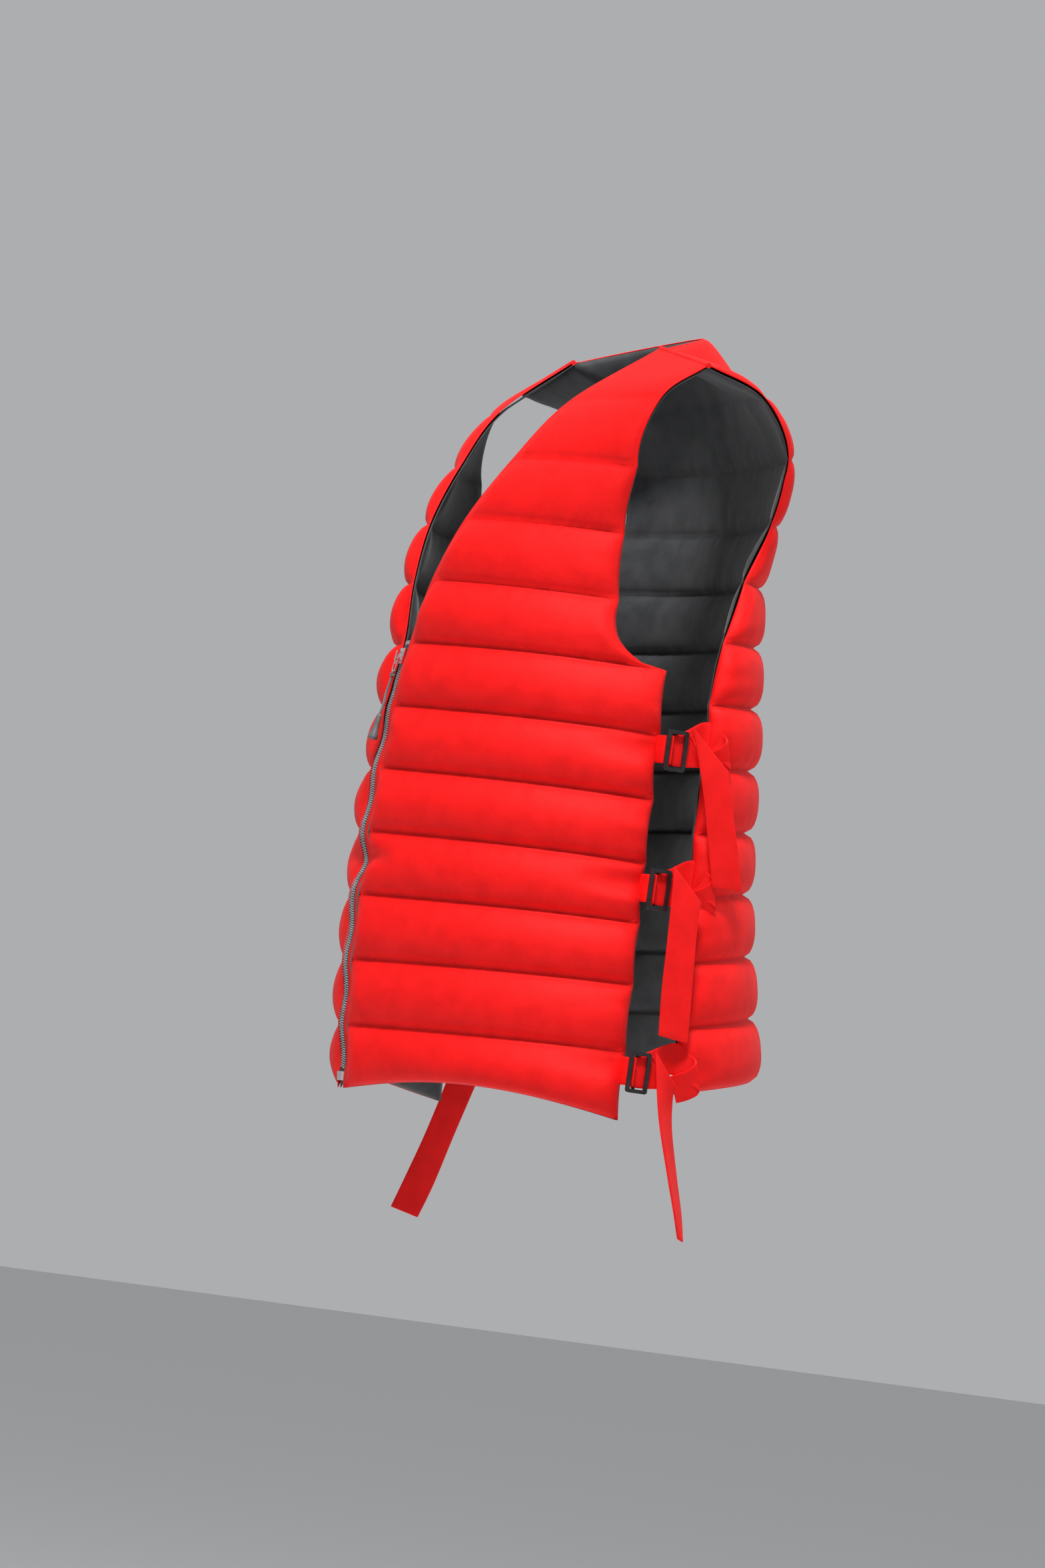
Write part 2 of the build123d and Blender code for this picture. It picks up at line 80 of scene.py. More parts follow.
FRONT_INNER = [
    (0, ZIP_EDGE, -147, -618), (1, ZIP_EDGE, -154, -567), (3, ZIP_EDGE, -160, -463),
    (5, ZIP_EDGE, -157, -361), (6, ZIP_EDGE, -152.2, -310), (7, ZIP_EDGE + 1, -144, -258),
    (8, 20, -138, -207), (9, 38, -124, -156), (10, 56, -98, -104), (11, 73, -64, -53), (12, 90, 0, 0),
]
FRONT_SIDE = [
    (0, 188, 13, -615), (2, 182, 13, -508), (4, 176, 12, -412), (6, 172, 11, -311), (7, 168, 10, -260),
    (8, 164, 10, -210), (9, 164, -5, -157), (10, 166, -37, -104), (11, 178, -30, -50), (12, 192, 0, -20),
]
BACK_INNER = [
    (0, 0, 183, -562), (1, 0, 170, -514), (3, 0, 147, -417), (5, 0, 135, -320), (7, 0, 125, -223),
    (9, 0, 125, -126), (10, 0, 121, -74), (11, 0, 100, -20), (12, 0, 62, 24),
]
BACK_SIDE = [
    (0, 188, 55, -589), (2, 182, 53, -486), (4, 175, 49, -384), (6, 170, 49, -281), (7, 168, 46, -231),
    (8, 166, 42, -180), (9, 158, 78, -128), (10, 160, 92, -76), (11, 180, 56, -35), (12, 192, 0, -20),
]
FRONT_ARMHOLE = [
    (7.0, 10), (7.04, -4), (7.12, -14), (7.3, -25), (7.6, -31), (8, -32), (9, -35), (10, -37),
]
BACK_ARMHOLE = [
    (6.0, 49), (6.6, 51), (7, 55), (8, 72), (9, 90), (10, 92),
]
FRONT_BOW = [
    (0, 0.35, 0.92), (4, 0.35, 0.92), (6, 0.5, 0.92), (7, 0.68, 0.92),
    (9, 0.65, 0.7), (10.5, 0.4, 0.45), (12, 0, 0),
]
BACK_BOW = [(0, 0.92, 0.92), (8, 0.92, 0.92), (10, 0.75, 0.75), (12, 0.0, 0.0)]
CROWN_SHARE = {
    "front": [(0, 1), (7, 1), (8, 0.85), (9, 0.7), (10, 0.5), (11, 0.2), (12, 0.15)],
    "back": [(0, 1), (7, 1), (8, 0.85), (9, 0.6), (10, 0.4), (11, 0.35), (12, 0.55)],
}
NECK_HALF, NECK_DEPTH, NECK_RISE, NECK_SHARE, YOKE_START = 90.0, 62.0, 24.0, 0.45, 10.0
ROW_DROOP, DROOP_FADE = 0.7, 7   # the back's rows stay level beside the spine, less so above this channel
STITCH_PITCH, STITCH_LENGTH, STITCH_RADIUS = 2.2, 1.6, 0.28
PIPING_RADIUS, PIPING_LIFT = 2.3, 0.7

STRAP_WIDTH, STRAP_THICK = 25.0, 1.6
LEVELS = ("upper", "middle", "lower")
STRAP_Z = {"upper": -322.0, "middle": -432.0, "lower": -576.0}
STRAP_X = {"upper": 182.5, "middle": 187.0, "lower": 196.5}
BACK_EDGE = {"upper": (171.0, 47.5), "middle": (177.0, 48.5), "lower": (187.2, 51.6)}
TAIL_X = {"upper": 190.5, "middle": 197.5, "lower": 203.0}
TAIL_CLEARANCE = 0.8
BUCKLE_Y = 20.0
PULL_CORD_DIAMETER = 0.002   # metres
LAYER_STEP = 5.2


# ------------------------------------------------------------------ small tools
def along(table, t):
    """Smooth value of a table at t: cubic pieces with shared slopes."""
    count = len(table)
    last = max(i for i in range(count - 1) if table[i][0] <= t or i == 0)
    spans = [table[i + 1][0] - table[i][0] for i in range(count - 1)]
    s = (t - table[last][0]) / spans[last]
    values = []
    for axis in range(1, len(table[0])):
        chord = [(table[i + 1][axis] - table[i][axis]) / spans[i] for i in range(count - 1)]
        ends = []
        for i in (last, last + 1):
            if i in (0, count - 1):
                ends.append(chord[min(i, count - 2)])
            else:
                ends.append((chord[i - 1] * spans[i] + chord[i] * spans[i - 1]) / (spans[i - 1] + spans[i]))
        p0, p1 = table[last][axis], table[last + 1][axis]
        m0, m1 = ends[0] * spans[last], ends[1] * spans[last]
        values.append((2 * s**3 - 3 * s**2 + 1) * p0 + (s**3 - 2 * s**2 + s) * m0
                      + (3 * s**2 - 2 * s**3) * p1 + (s**3 - s**2) * m1)
    return values


def smooth(low, high, x):
    """0 below low, 1 above high, and smooth between."""
    s = min(1.0, max(0.0, (x - low) / (high - low)))
    return s * s * (3 - 2 * s)


def new_mesh(name, points, faces, uvs=None):
    """Object from points in mm, quads, and one UV per point in metres."""
    mesh = bpy.data.meshes.new(name)
    mesh.from_pydata([Vector(p) * MM for p in points], [], faces)
    if uvs:
        layer = mesh.uv_layers.new(name="UVMap")
        for loop in mesh.loops:
            layer.data[loop.index].uv = uvs[loop.vertex_index]
    for face in mesh.polygons:
        face.use_smooth = True
    obj = bpy.data.objects.new(name, mesh)
    bpy.context.collection.objects.link(obj)
    return obj


def grid_faces(rows, columns, flip=False):
    """Quads of a grid whose point (r, c) has index r * columns + c."""
    faces = []
    for r in range(rows - 1):
        for c in range(columns - 1):
            a = r * columns + c
            quad = (a, a + 1, a + columns + 1, a + columns)
            faces.append(quad[::-1] if flip else quad)
    return faces


def modify(obj, kind, **settings):
    """Add a modifier and apply it."""
    modifier = obj.modifiers.new(kind.title(), kind)
    for key, value in settings.items():
        setattr(modifier, key, value)
    bpy.context.view_layer.objects.active = obj
    bpy.ops.object.modifier_apply(modifier=modifier.name)
    return obj


# --------------------------------------------------------------- panel surfaces
def zip_wave(z):
    """Inward pull of the zip line between seams, deepest at the fold over the belly."""
    t = (z - FRONT_HEM_Z) / FRONT_STEP
    settled = smooth(-285, -320, z) * smooth(-618, -600, z)
    return settled * (1.3 * (1 - cos(2 * pi * t)) + 5.0 * exp(-((t - 3.55) / 0.28) ** 2))


def top_row(u):
    """The back's top row: neckline, then shoulder seam."""
    tip = Vector(BACK_SIDE[-1][1:])
    if u < NECK_SHARE:
        turn = u / NECK_SHARE * pi / 2
        return Vector((NECK_HALF * sin(turn), NECK_DEPTH * cos(turn), NECK_RISE * cos(turn)))
    neck = Vector((NECK_HALF, 0, 0))
    return neck + (tip - neck) * ((u - NECK_SHARE) / (1 - NECK_SHARE))


def row_point(kind, v, t):
    """Point on the untrimmed row: v runs from the inner edge to the side line."""
    inner, side, bow = {
        "front": (FRONT_INNER, FRONT_SIDE, FRONT_BOW), "back": (BACK_INNER, BACK_SIDE, BACK_BOW),
    }[kind]
    a, b, (near, far) = along(inner, t), along(side, t), along(bow, t)
    k = near + (far - near) * v
    turn = v * pi / 2
    x = a[0] + (b[0] - a[0]) * ((1 - k) * v + k * sin(turn))
    y = a[1] + (b[1] - a[1]) * ((1 - k) * v + k * (1 - cos(turn)))
    droop = ROW_DROOP * (1 - smooth(DROOP_FADE, YOKE_START, t)) if kind == "back" else 0.0
    z = a[2] + (b[2] - a[2]) * v ** (1 + droop)
    if kind == "front":
        y += zip_wave(z) * exp(-v * 9)
        z += HEM_ARCH * sin(pi * v) * max(0.0, 1 - t) ** 2
    point = Vector((x, y, z))
    if kind == "back" and t > YOKE_START:
        neck, tip = Vector(BACK_INNER[-1][1:]), Vector(BACK_SIDE[-1][1:])
        share = (t - YOKE_START) / (CHANNELS - YOKE_START)
        point += (top_row(v) - (neck + (tip - neck) * v)) * share**2
    return point


def trim(kind, t):
    """Share of the row that is left by the armhole, drawn in between seams."""
    seed = 1.0 if kind == "front" else 6.0
    drawn = 0.006 + 0.02 * max(0.0, noise.noise(Vector((floor(t) * 2.3, 4.0, seed))))
    drawn *= sin(pi * (t - floor(t))) * smooth(11.5, 9, t)
    return armhole_trim(kind, t) * (1 - drawn)


def armhole_trim(kind, t):
    """Share of the row that is left by the armhole alone."""
    armhole = FRONT_ARMHOLE if kind == "front" else BACK_ARMHOLE
    if t <= armhole[0][0] or t >= armhole[-1][0]:
        return 1.0
    target = along(armhole, t)[0]
    low, high = 0.3, 1.0
    for _ in range(30):
        middle = (low + high) / 2
        forward = row_point(kind, middle, t).y > target
        if forward == (kind == "front"):
            high = middle
        else:
            low = middle
    return low


def dents(kind, u, t):
    """Hollows that the straps and the zip pull into the channels, as a share of the puff."""
    depth = 0.0
    if kind == "front":
        for level, strength in (("upper", 0.75), ("middle", 0.8), ("lower", 0.6)):
            at = (STRAP_Z[level] - FRONT_HEM_Z) / FRONT_STEP
            depth += strength * exp(-((t - at) / 0.2) ** 2) * smooth(0.74, 0.99, u)
        depth += 0.75 * exp(-((t - 3.6) / 0.17) ** 2) * smooth(0.2, 0.03, u)
        depth += 0.35 * exp(-((t - 5.45) / 0.16) ** 2) * smooth(0.12, 0.02, u)
    else:
        for level in LEVELS:
            at = (STRAP_Z[level] - BACK_HEM_Z) / BACK_STEP
            depth += 0.6 * exp(-((t - at) / 0.22) ** 2) * smooth(0.8, 0.99, u)
    return min(depth, 0.9)


def puff_height(kind, u, t, reach_in, reach_out, run, seed, crown, inner_round):
    """Height of the fabric over the middle surface, in mm."""
    phase = t - floor(t) if t < CHANNELS else 0.0
    if kind == "front":
        swell = max(0.0, sin(pi * phase ** 0.93)) ** 0.6
    else:
        swell = max(0.0, 1 - abs(2 * phase - 1) ** 2.6) ** 0.6
    ends = 1.0
    for reach, rim, length in ((reach_in, RIM, inner_round), (reach_out, OUTER_RIM, OUTER_ROUND)):
        rise = min(1.0, max(0.0, (reach - rim) / length))
        ends *= sqrt(max(0.0, 1 - (1 - rise) ** 2))
    channel = floor(min(t, CHANNELS - 0.01))
    fullness = 1 + 0.10 * noise.noise(Vector((run / 90, channel * 3.7 + seed, 0.5)))
    share = along(CROWN_SHARE[kind], t)[0]
    height = crown * share * swell * ends * fullness * (1 - dents(kind, u, t))
    seam = round(t)
    gap = abs(t - seam) * SEAM_STEP
    if 0 < seam < CHANNELS:
        gather = noise.noise(Vector((run / 9.0, seam * 5.1 + seed, 0.0)))
        gather += 0.5 * noise.noise(Vector((run / 4.0, seam * 9.3 + seed, 2.0)))
        height += 0.8 * share * gather * (gap / 4) * exp(1 - gap / 4) * ends
    edge_pull = noise.noise(Vector((t * 5.2, seed, 7.0))) * exp(-min(reach_in, reach_out) / 16)
    height += 1.8 * share * edge_pull * ends
    return height + RIM_HALF


def panel_grid(kind, layer, seed, slack=0.0):
    """Points and UVs of one fabric layer of a panel's left half; slack flattens it beside the zip."""
    columns = FRONT_COLUMNS if kind == "front" else BACK_COLUMNS
    rows = CHANNELS * ROWS + 1
    middle = [[None] * columns for _ in range(rows)]
    for r in range(rows):
        t = min(r / ROWS, CHANNELS)
        limit = trim(kind, t)
        for c in range(columns):
            middle[r][c] = row_point(kind, limit * c / (columns - 1), t)
    sign = 1 if layer == "shell" else -1
    crown = PUFF[kind] if layer == "shell" else LINING_PUFF
    points, uvs = [], []
    for r in range(rows):
        t = r / ROWS
        runs = [0.0]
        for c in range(1, columns):
            runs.append(runs[-1] + (middle[r][c] - middle[r][c - 1]).length)
        for c in range(columns):
            across = middle[r][min(c + 1, columns - 1)] - middle[r][max(c - 1, 0)]
            up = middle[min(r + 1, rows - 1)][c] - middle[max(r - 1, 0)][c]
            normal = across.cross(up).normalized() * (1 if kind == "front" else -1)
            if kind == "back" and c == 0:
                normal = Vector((0, normal.y, normal.z)).normalized()
            reach_in = runs[c] if kind == "front" else 9999
            reach_out = runs[-1] - runs[c]
            inner_round = END_ROUND + slack * smooth(7, 5.5, t)
            lift = puff_height(
                kind, c / (columns - 1), t, reach_in, reach_out, runs[c], seed, crown, inner_round
            )
            points.append(middle[r][c] + normal * (sign * lift))
            uvs.append((runs[c] * MM, middle[r][c].z * MM))
    return points, uvs, rows, columns


def build_panel(name, kind, layer, node, side=1, seed=0.0):
    """One fabric layer: a thickened sheet, mirrored or joined across the back."""
    points, uvs, rows, columns = panel_grid(kind, layer, seed, SLACK if side < 0 else 0.0)
    flip = (layer == "shell") != (kind == "front")
    if kind == "front":
        points = [Vector((side * p.x, p.y, p.z)) for p in points]
        faces = grid_faces(rows, columns, flip if side > 0 else not flip)
    else:
        whole, whole_uvs = [], []
        other, _, _, _ = panel_grid(kind, layer, seed + 31.0)
        for r in range(rows):
            for c in range(columns - 1, 0, -1):
                p = other[r * columns + c]
                whole.append(Vector((-p.x, p.y, p.z)))
                whole_uvs.append((-uvs[r * columns + c][0], uvs[r * columns + c][1]))
            for c in range(columns):
                whole.append(points[r * columns + c])
                whole_uvs.append(uvs[r * columns + c])
        points, uvs = whole, whole_uvs
        faces = grid_faces(rows, 2 * columns - 1, flip)
    obj = new_mesh(name, points, faces, uvs)
    modify(obj, "SOLIDIFY", thickness=FABRIC * MM, offset=-1.0)
    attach(obj, "vest")
    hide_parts(*node)
    obj.data.materials.append(MATERIALS["shell" if layer == "shell" else "lining"])
    return obj


# ------------------------------------------------------------------- materials
def new_material(name, colour, roughness, **sockets):
    """Principled material with plain sockets set on the shader itself."""
    material = bpy.data.materials.new(name)
    material.use_nodes = True
    shader = material.node_tree.nodes["Principled BSDF"]
    shader.inputs["Base Color"].default_value = (*colour, 1)
    shader.inputs["Roughness"].default_value = roughness
    for key, value in sockets.items():
        shader.inputs[key.replace("_", " ")].default_value = value
    return material, material.node_tree, shader


def add_noise(tree, scale, detail):
    """Noise texture on the object's own coordinates."""
    place = tree.nodes.new("ShaderNodeTexCoord")
    texture = tree.nodes.new("ShaderNodeTexNoise")
    texture.inputs["Scale"].default_value = scale
    texture.inputs["Detail"].default_value = detail
    tree.links.new(place.outputs["Object"], texture.inputs["Vector"])
    return texture


def vary_colour(tree, shader, low, high, scale):
    """Base colour that drifts between two near tones."""
    texture = add_noise(tree, scale, 5)
    ramp = tree.nodes.new("ShaderNodeValToRGB")
    ramp.color_ramp.elements[0].position, ramp.color_ramp.elements[1].position = 0.35, 0.65
    ramp.color_ramp.elements[0].color, ramp.color_ramp.elements[1].color = (*low, 1), (*high, 1)
    tree.links.new(texture.outputs["Fac"], ramp.inputs["Fac"])
    tree.links.new(ramp.outputs["Color"], shader.inputs["Base Color"])


def add_bump(tree, shader, height, strength, distance):
    """Bump from a height output, stacked on any bump already there."""
    bump = tree.nodes.new("ShaderNodeBump")
    bump.inputs["Strength"].default_value = strength
    bump.inputs["Distance"].default_value = distance
    tree.links.new(height, bump.inputs["Height"])
    socket = shader.inputs["Normal"]
    if socket.is_linked:
        tree.links.new(socket.links[0].from_socket, bump.inputs["Normal"])
    tree.links.new(bump.outputs["Normal"], socket)


def weave_height(tree, pitch, turn):
    """Height of diagonal twill ribs, on the UVs, which are in metres."""
    place = tree.nodes.new("ShaderNodeTexCoord")
    mapping = tree.nodes.new("ShaderNodeMapping")
    mapping.inputs["Rotation"].default_value = (0, 0, turn)
    wave = tree.nodes.new("ShaderNodeTexWave")
    wave.inputs["Scale"].default_value = 2 * pi / (20 * pitch)
    wave.inputs["Distortion"].default_value = 0.6
    wave.inputs["Detail"].default_value = 2
    tree.links.new(place.outputs["UV"], mapping.inputs["Vector"])
    tree.links.new(mapping.outputs["Vector"], wave.inputs["Vector"])
    return wave.outputs["Fac"]


def fabric(name, low, high, roughness, pitch, sheen):
    """Woven cloth: drifting tone, twill ribs, thread fuzz and small creases."""
    material, tree, shader = new_material(
        name, high, roughness, Sheen_Weight=sheen, Sheen_Roughness=0.4, Specular_IOR_Level=0.22
    )
    vary_colour(tree, shader, low, high, 60)
    add_bump(tree, shader, weave_height(tree, pitch, radians(55)), 0.35, 0.0002)
    add_bump(tree, shader, weave_height(tree, pitch * 0.8, radians(-35)), 0.2, 0.0002)
    add_bump(tree, shader, add_noise(tree, 900, 3).outputs["Fac"], 0.25, 0.0003)
    add_bump(tree, shader, add_noise(tree, 70, 4).outputs["Fac"], 0.22, 0.002)
    return material


def moulded(name, low, high, roughness, scale, strength, **sockets):
    """Moulded plastic, rubber or metal: a fine grain and a slight tone change."""
    material, tree, shader = new_material(name, high, roughness, **sockets)
    vary_colour(tree, shader, low, high, scale / 6)
    add_bump(tree, shader, add_noise(tree, scale, 3).outputs["Fac"], strength, 0.0002)
    return material


def make_materials():
    """Every material by its short name."""
    return {
        "shell": fabric("red_twill", (0.80, 0.002, 0.002), (0.9, 0.004, 0.004), 0.65, 0.0011, 0.02),
        "strap": fabric("red_webbing", (0.80, 0.002, 0.002), (0.9, 0.004, 0.004), 0.6, 0.0008, 0.02),
        "lining": fabric("grey_lining", (0.040, 0.041, 0.043), (0.060, 0.061, 0.064), 0.7, 0.0009, 0.25),
        "thread": fabric("red_thread", (0.22, 0.002, 0.002), (0.32, 0.004, 0.004), 0.7, 0.0006, 0.1),
        "tape": fabric("grey_tape", (0.075, 0.075, 0.078), (0.11, 0.11, 0.115), 0.8, 0.0008, 0.2),
        "coil": moulded("grey_nylon", (0.33, 0.33, 0.34), (0.46, 0.46, 0.47), 0.35, 800, 0.15),
        "chrome": moulded("chrome", (0.75, 0.75, 0.77), (0.86, 0.86, 0.88), 0.12, 500, 0.05, Metallic=1.0),
        "cord": fabric("grey_cord", (0.12, 0.12, 0.125), (0.2, 0.2, 0.205), 0.75, 0.0006, 0.2),
        "toggle": moulded("grey_rubber", (0.10, 0.10, 0.105), (0.14, 0.14, 0.145), 0.5, 900, 0.3),
        "black": moulded("black_plastic", (0.010, 0.010, 0.011), (0.018, 0.018, 0.019), 0.3, 1200, 0.25),
        "mouthpiece": moulded("pale_rubber", (0.42, 0.42, 0.4), (0.5, 0.5, 0.47), 0.55, 700, 0.2),
    }


MATERIALS = make_materials()


def dress_node(node, material):
    """Give a CAD node that stays its material."""
    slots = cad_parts[node].data.materials
    slots.clear()
    slots.append(MATERIALS[material])


# ------------------------------------------------------------------- stitching
def stitch_line(name, points, pitch, length, radius):
    """Row of raised stitches along points in mm, as short capsules in one mesh."""
    verts, faces = [], []
    walked, sides = 0.0, 5
    for a, b in zip(points, points[1:]):
        step = (b - a).length
        if step < 1e-6:
            continue
        walked += step
        if walked < pitch:
            continue
        walked = 0.0
        along_dir = (b - a).normalized()
        side_dir = along_dir.orthogonal().normalized()
        third = along_dir.cross(side_dir)
        base = len(verts)
        for share, wide in ((-0.5, 0.3), (-0.3, 1), (0.3, 1), (0.5, 0.3)):
            for k in range(sides):
                turn = 2 * pi * k / sides
                offset = (side_dir * cos(turn) + third * sin(turn)) * radius * wide
                verts.append(b + along_dir * (share * length) + offset)
        for ring in range(3):
            for k in range(sides):
                first, second = base + ring * sides, base + (ring + 1) * sides
                faces.append((first + k, first + (k + 1) % sides, second + (k + 1) % sides, second + k))
        faces.append(tuple(base + k for k in range(sides))[::-1])
        faces.append(tuple(base + 3 * sides + k for k in range(sides)))
    obj = new_mesh(name, verts, faces)
    obj.data.materials.append(MATERIALS["thread"])
    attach(obj, "vest")
    return obj


def rim_path(kind, which, side, t_low, t_high, inset):
    """Points on the shell, inset from an edge of a panel, in small steps."""
    points = []
    steps = int((t_high - t_low) * 34)
    for i in range(steps + 1):
        t = t_low + (t_high - t_low) * i / steps
        limit = trim(kind, t)
        width = (row_point(kind, limit, t) - row_point(kind, 0, t)).length * 1.12
        v = inset / width if which == "inner" else limit * (1 - inset / width)
        here = row_point(kind, v, t)
        across = row_point(kind, min(v + 0.01, 1), t) - row_point(kind, max(v - 0.01, 0), t)
        up = row_point(kind, v, min(t + 0.02, CHANNELS)) - row_point(kind, v, max(t - 0.02, 0))
        normal = across.cross(up).normalized() * (1 if kind == "front" else -1)
        here = here + normal * (RIM_HALF + 0.1)
        points.append(Vector((side * here.x, here.y, here.z)))
    return points


def build_stitching():
    """Topstitching beside the zip and V, the armholes and the back's side edges."""
    runs = (("front_topstitch", "front", "inner", 11.9), ("front_side_topstitch", "front", "outer", 11.9),
            ("back_side_topstitch", "back", "outer", 11.8))
    for name, side in (("left", 1), ("right", -1)):
        for run, kind, edge, t_high in runs:
            path = rim_path(kind, edge, side, 0.1, t_high, RIM)
            piece = stitch_line(f"{run}_{name}", path, STITCH_PITCH, STITCH_LENGTH, STITCH_RADIUS)


# ------------------------------------------------------------------------- zip
def zip_frame(z):
    """Point on the tape's middle at height z, its outward direction and its downward one."""
    y = ZIP_CENTRE_Y - sqrt(ZIP_RADIUS**2 - (z - ZIP_CENTRE_Z) ** 2) + zip_wave(z)
    ahead = ZIP_CENTRE_Y - sqrt(ZIP_RADIUS**2 - (z - 1 - ZIP_CENTRE_Z) ** 2) + zip_wave(z - 1)
    down = Vector((0, ahead - y, -1)).normalized()
    outward = Vector((1, 0, 0)).cross(down)
    outward = -outward if outward.y > 0 else outward
    return Vector((0, y, z)), outward, down


def build_tapes():
    """Woven tape either side of the zip, with a cord edge."""
    steps = 180
    for name, side in (("left", 1), ("right", -1)):
        points, uvs = [], []
        for r in range(steps + 1):
            z = ZIP_TOP + (ZIP_BOTTOM - ZIP_TOP) * r / steps
            middle, outward, _ = zip_frame(z)
            for x, lift in ((0.9, 0.0), (1.2, 0.4), (3.6, 0.4), (4.2, 0.25), (8.0, 0.25), (11.0, 0.2)):
                points.append(middle + Vector((side * x, 0, 0)) + outward * lift)
                uvs.append((x * MM, z * MM))
        obj = new_mesh(f"woven_zip_tape_{name}", points, grid_faces(steps + 1, 6, side > 0), uvs)
        modify(obj, "SOLIDIFY", thickness=0.7 * MM, offset=-1.0)
        obj.data.materials.append(MATERIALS["tape"])
        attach(obj, "vest")
        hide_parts(f"zip_tape_{name}")


def tube(name, points, radius, material, closed=False, sides=6):
    """Tube of one radius along points in mm, as a mesh."""
    curve = bpy.data.curves.new(name, "CURVE")
    curve.dimensions = "3D"
    spline = curve.splines.new("POLY")
    spline.points.add(len(points) - 1)
    for spot, point in zip(spline.points, points):
        spot.co = (*(Vector(point) * MM), 1)
    spline.use_cyclic_u = closed
    curve.bevel_depth = radius * MM
    curve.bevel_resolution = max(0, sides // 2 - 2)
    curve.use_fill_caps = not closed
    holder = bpy.data.objects.new(name + "_curve", curve)
    bpy.context.collection.objects.link(holder)
    mesh = bpy.data.meshes.new_from_object(holder.evaluated_get(bpy.context.evaluated_depsgraph_get()))
    bpy.data.objects.remove(holder)
    obj = bpy.data.objects.new(name, mesh)
    obj.data.name = name
    bpy.context.collection.objects.link(obj)
    for face in obj.data.polygons:
        face.use_smooth = True
    obj.data.materials.clear()
    obj.data.materials.append(MATERIALS[material])
    return obj


def build_coils():
    """Nylon coil on each tape: a flattened helix whose turns mesh at the centre."""
    pitch, per_turn = 1.9, 8
    top, bottom = ZIP_TOP - 8, ZIP_BOTTOM + 8
    turns = int((top - bottom) / pitch)
    for name, side in (("left", 1), ("right", -1)):
        points = []
        for i in range(turns * per_turn):
            turn = 2 * pi * i / per_turn
            z = top - pitch * (i / per_turn + (0.5 if side > 0 else 0))
            middle, outward, _ = zip_frame(z)
            x = 1.75 - 1.95 * cos(turn)
            points.append(middle + Vector((side * x, 0, 0)) + outward * (1.35 + 0.75 * sin(turn)))
        obj = tube(f"zip_coil_{name}", points, 0.36, "coil")
        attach(obj, "vest")
        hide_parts(f"zip_teeth_{name}")


# ---------------------------------------------------------------------- straps
def ribbon(name, stops, thick, steps):
    """Webbing through stops, each the two edge points of one row, in mm."""
    columns, points, uvs = 9, [], []
    padded_stops = [stops[0]] + stops + [stops[-1]]
    walked, before = 0.0, None
    rows = (len(stops) - 1) * steps + 1
    for row in range(rows):
        span = min(row // steps, len(stops) - 2)
        s = row / steps - span
        weights = (-s / 2 + s * s - s**3 / 2, 1 - 2.5 * s * s + 1.5 * s**3,
                   s / 2 + 2 * s * s - 1.5 * s**3, -s * s / 2 + s**3 / 2)
        first, second = [
            sum((padded_stops[span + j][edge] * w for j, w in enumerate(weights)), Vector())
            for edge in (0, 1)
        ]
        middle = (first + second) / 2
        walked += 0 if before is None else (middle - before).length
        before = middle
        for c in range(columns):
            share = c / (columns - 1)
            points.append(first.lerp(second, share))
            uvs.append((share * STRAP_WIDTH * MM, walked * MM))
    obj = new_mesh(name, points, grid_faces(rows, columns), uvs)
    modify(obj, "SOLIDIFY", thickness=thick * MM, offset=0.0)
    modify(obj, "BEVEL", width=0.35 * thick * MM, segments=2, limit_method="ANGLE", angle_limit=radians(50))
    obj.data.materials.append(MATERIALS["strap"])
    return obj


def edges(side, x, y, z, width=STRAP_WIDTH, lean=(0, 0, 1)):
    """Two edge points about a centre, along a direction across the webbing."""
    centre = Vector((side * x, y, z))
    half = Vector((side * lean[0], lean[1], lean[2])).normalized() * (width / 2)
    return centre - half, centre + half


def build_side_straps():
    """Each strap: a turned loop at the back edge, the run to the centre bar, and the run to its fold."""
    for level in LEVELS:
        x_out, z = STRAP_X[level], STRAP_Z[level]
        x_in, x_turn = x_out - LAYER_STEP, x_out - LAYER_STEP / 2
        back_x, back_y = BACK_EDGE[level]
        for name, side in (("left", 1), ("right", -1)):
            stops = [
                edges(side, back_x + 3, back_y + 4, z - 9, 22, (0.15, -0.5, 1)),
                edges(side, back_x + 9.5, back_y + 13, z - 4, 24, (0.3, -0.35, 1)),
                edges(side, back_x + 12.5, back_y + 19, z + 3, 25, (0.1, -0.3, 1)),
                edges(side, back_x + 9, back_y + 13, z + 9, 25, (-0.15, -0.2, 1)),
                edges(side, back_x + 1, back_y + 1, z + 15),
                edges(side, x_in, BUCKLE_Y + 12, z + 6),
                edges(side, x_in, BUCKLE_Y + 1, z),
            ]
            for turn in (200, 235, 270, 305, 340):
                a = radians(turn)
                stops.append(edges(side, x_turn + 2.6 * cos(a), BUCKLE_Y + 2.6 * sin(a), z, 23.5))
            stops += [
                edges(side, x_out, BUCKLE_Y + 3, z, 24),
                edges(side, x_out + 0.4, BUCKLE_Y + 10, z + 1, 25, (0, -0.05, 1)),
                edges(side, x_out + 1.6, BUCKLE_Y + 17, z + 2, 26, (0, -0.45, 1)),
                edges(side, x_out + 3.0, BUCKLE_Y + 20, z + 3, 30, (0, -0.85, 1)),
            ]
            obj = ribbon(f"{level}_side_strap_{name}", stops, STRAP_THICK, 4)
            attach(obj, "vest")
            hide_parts(f"{level}_strap_{name}")


